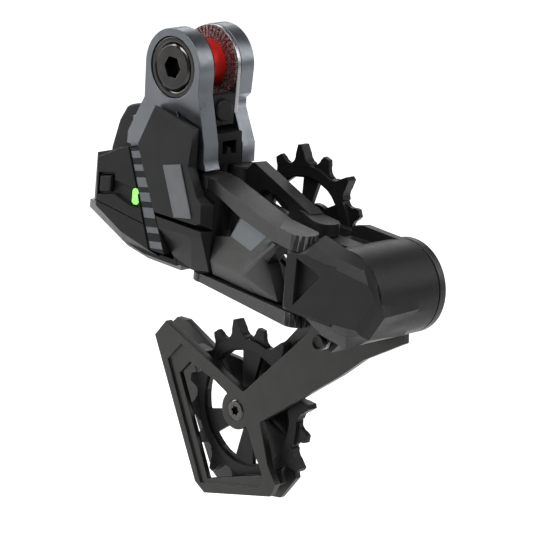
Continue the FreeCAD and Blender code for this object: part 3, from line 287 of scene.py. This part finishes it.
# The slanted panel's two long edges: a point on each, and how far forward it runs per millimetre down.
PANEL_REAR = (-15.4, -34.5)
PANEL_REAR_SLOPE = 0.417
PANEL_FRONT = (-9.7, -33.2)
PANEL_FRONT_SLOPE = 0.481
# A dash stops short of the panel's edges, and its front end is higher than its rear end.
DASH_MARGIN = 0.9
DASH_RISE = 1.2


def on_outer_link(along, up, across):
    """A point given along, up and across the outer link, in millimetres."""
    length = math.hypot(*LINK_RUN)
    ahead = Vector((LINK_RUN[0], LINK_RUN[1], 0)) / length
    inboard = Vector((-ahead.y, ahead.x, 0))
    return Vector((*LINK_BASE, up)) + along * ahead + across * inboard


def make_film(name, outline, normal, body, material):
    """A thin painted mark: a flat outline, in millimetres, with the paint's thickness."""
    back = [corner + normal * PAINT for corner in outline]
    count = len(outline)
    faces = [list(range(count)), list(range(2 * count - 1, count - 1, -1))]
    faces += [[k, k + count, (k + 1) % count + count, (k + 1) % count] for k in range(count)]
    mesh = bpy.data.meshes.new(name)
    mesh.from_pydata([corner * MM for corner in outline + back], [], faces)
    mesh.validate()
    mesh.materials.append(material)
    film = bpy.data.objects.new(name, mesh)
    bpy.context.scene.collection.objects.link(film)
    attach(film, body)


def make_patch(finishes):
    """The lighter painted field on the outer link's web."""
    corners = [(25.9, -48.6), (44, -50.9), (34.2, -59.6), (19.6, -57.6)]
    outline = [on_outer_link(along, up, LINK_WEB_FACE) for along, up in corners]
    inboard = on_outer_link(0, 0, 1) - on_outer_link(0, 0, 0)
    make_film("link_patch", outline, inboard, "outer_link", finishes["patch_blue"])


def make_dashes(finishes):
    """Plain grey blocks down the slanted panel."""
    heights = [(-36.6, -39.2), (-41.6, -44), (-46.4, -50), (-52, -55.4), (-57.6, -61.4),
               (-64.8, -67), (-70.2, -72.8)]
    for index, (top, low) in enumerate(heights):
        corners = [(rear_edge(top) + DASH_MARGIN, top),
                   (front_edge(top) - DASH_MARGIN, top + DASH_RISE),
                   (front_edge(low) - DASH_MARGIN, low + DASH_RISE),
                   (rear_edge(low) + DASH_MARGIN, low)]
        outline = [Vector((forward, PANEL_FACE, up)) for forward, up in corners]
        make_film("panel_dash_%d" % index, outline, Vector((0, 1, 0)), "b_knuckle",
                  finishes["dash_grey"])


def rear_edge(up):
    """Rear edge of the slanted panel at a height."""
    return PANEL_REAR[0] + (PANEL_REAR[1] - up) * PANEL_REAR_SLOPE


def front_edge(up):
    """Front edge of the slanted panel at a height."""
    return PANEL_FRONT[0] + (PANEL_FRONT[1] - up) * PANEL_FRONT_SLOPE


# ---------------------------------------------------------------- stage

# The camera's side, height and roll in degrees, its place in metres and its lens in millimetres.
CAMERA_AZIMUTH = 43.694
CAMERA_ELEVATION = 16.222
CAMERA_ROLL = 5.166
CAMERA_PLACE = Vector((0.87774, -0.86335, 0.27881))
CAMERA_LENS = 216.14


# How strongly the floor glows in front of the part and behind it, and where that changes, in metres.
FLOOR_GLOW = (0.1, 0.95)
GLOW_REACH = (-0.1, 0.3)


def make_floor():
    """A wide pale floor, lit from within behind the part and dimmer in front of it."""
    width = 6.0
    front = -2.0
    back = 6.0
    level = -0.32
    steps = 8
    profile = [(front + (back - front) * step / steps, level) for step in range(steps + 1)]
    points = [(side * width, along, up) for along, up in profile for side in (-1, 1)]
    faces = [(2 * k, 2 * k + 1, 2 * k + 3, 2 * k + 2) for k in range(len(profile) - 1)]
    mesh = bpy.data.meshes.new("floor")
    mesh.from_pydata(points, [], faces)
    mesh.polygons.foreach_set("use_smooth", [True] * len(faces))
    floor = bpy.data.objects.new("floor", mesh)
    floor.rotation_euler.z = math.radians(CAMERA_AZIMUTH)
    bpy.context.scene.collection.objects.link(floor)
    tree = Tree("pale_paper")
    cloudy = tree.noise(0.3, 4)
    paper = tree.mixed(tree.mapped(cloudy, 0, 1), (0.7, 0.7, 0.7), (0.74, 0.74, 0.74))
    tree.link(paper, tree.shader.inputs["Base Color"])
    tree.link(tree.mapped(cloudy, 0.7, 0.85), tree.shader.inputs["Roughness"])
    tree.link(tree.bump(tree.noise(2 * MM, 3), 0.05 * MM), tree.shader.inputs["Normal"])
    away = tree.node("ShaderNodeSeparateXYZ")
    tree.link(tree.place, away.inputs["Vector"])
    glow = tree.mapped(away.outputs["Y"], *FLOOR_GLOW, *GLOW_REACH)
    tree.shader.inputs["Emission Color"].default_value = (1, 1, 1, 1)
    tree.link(glow, tree.shader.inputs["Emission Strength"])
    mesh.materials.append(tree.material)


def facing(azimuth, elevation):
    """Unit vectors right, up and back of a camera that looks from this side."""
    turn = math.radians(azimuth)
    tilt = math.radians(elevation)
    back = Vector((math.sin(turn) * math.cos(tilt), -math.cos(turn) * math.cos(tilt), math.sin(tilt)))
    right = Vector((math.cos(turn), math.sin(turn), 0))
    return right, back.cross(right), back


def make_camera():
    """A long lens at the studio camera's place, level but for a small roll."""
    right, up, back = facing(CAMERA_AZIMUTH, CAMERA_ELEVATION)
    roll = math.radians(CAMERA_ROLL)
    across = math.cos(roll) * right + math.sin(roll) * up
    above = math.cos(roll) * up - math.sin(roll) * right
    camera = bpy.data.objects.new("camera", bpy.data.cameras.new("camera"))
    camera.data.sensor_width = 36
    camera.data.lens = CAMERA_LENS
    camera.data.clip_end = 20
    turned = Matrix((across, above, back)).transposed().to_4x4()
    camera.matrix_world = Matrix.Translation(CAMERA_PLACE) @ turned
    bpy.context.scene.collection.objects.link(camera)
    bpy.context.scene.camera = camera


PART_MIDDLE = Vector((0.05, 0.0, -0.08))


def add_light(name, azimuth, elevation, distance, width, height, power):
    """A soft rectangular light that shines on the part's middle from that side."""
    right, up, back = facing(azimuth, elevation)
    data = bpy.data.lights.new(name, "AREA")
    data.shape = "RECTANGLE"
    data.size = width
    data.size_y = height
    data.energy = power
    light = bpy.data.objects.new(name, data)
    place = PART_MIDDLE + distance * back
    light.matrix_world = Matrix.Translation(place) @ Matrix((right, up, back)).transposed().to_4x4()
    bpy.context.scene.collection.objects.link(light)


def make_lights():
    """A dark studio with soft boxes above, behind and at both sides, and weak ones in front and below.

    Each is given by its side and height in degrees, its distance, width and height, and its watts."""
    add_light("top_box", 20, 70, 0.9, 0.8, 0.35, 5)
    add_light("back_box", 224, 24, 1.5, 1.2, 0.4, 3.2)
    add_light("left_rim", -70, 24, 1.0, 0.25, 0.9, 4)
    add_light("right_rim", 138, 34, 1.0, 0.2, 0.8, 1.5)
    add_light("front_box", 80, 40, 1.2, 0.3, 0.5, 2)
    add_light("low_box", -30, -18, 1.2, 0.5, 0.3, 0.8)
    world = bpy.data.worlds.new("studio")
    world.use_nodes = True
    background = world.node_tree.nodes["Background"]
    background.inputs["Color"].default_value = (0.95, 0.97, 1, 1)
    background.inputs["Strength"].default_value = 0.1
    bpy.context.scene.world = world
    bpy.context.scene.view_settings.view_transform = "Standard"


finishes = make_finishes()
dress_frame(finishes)
make_patch(finishes)
make_dashes(finishes)
make_floor()
make_camera()
make_lights()
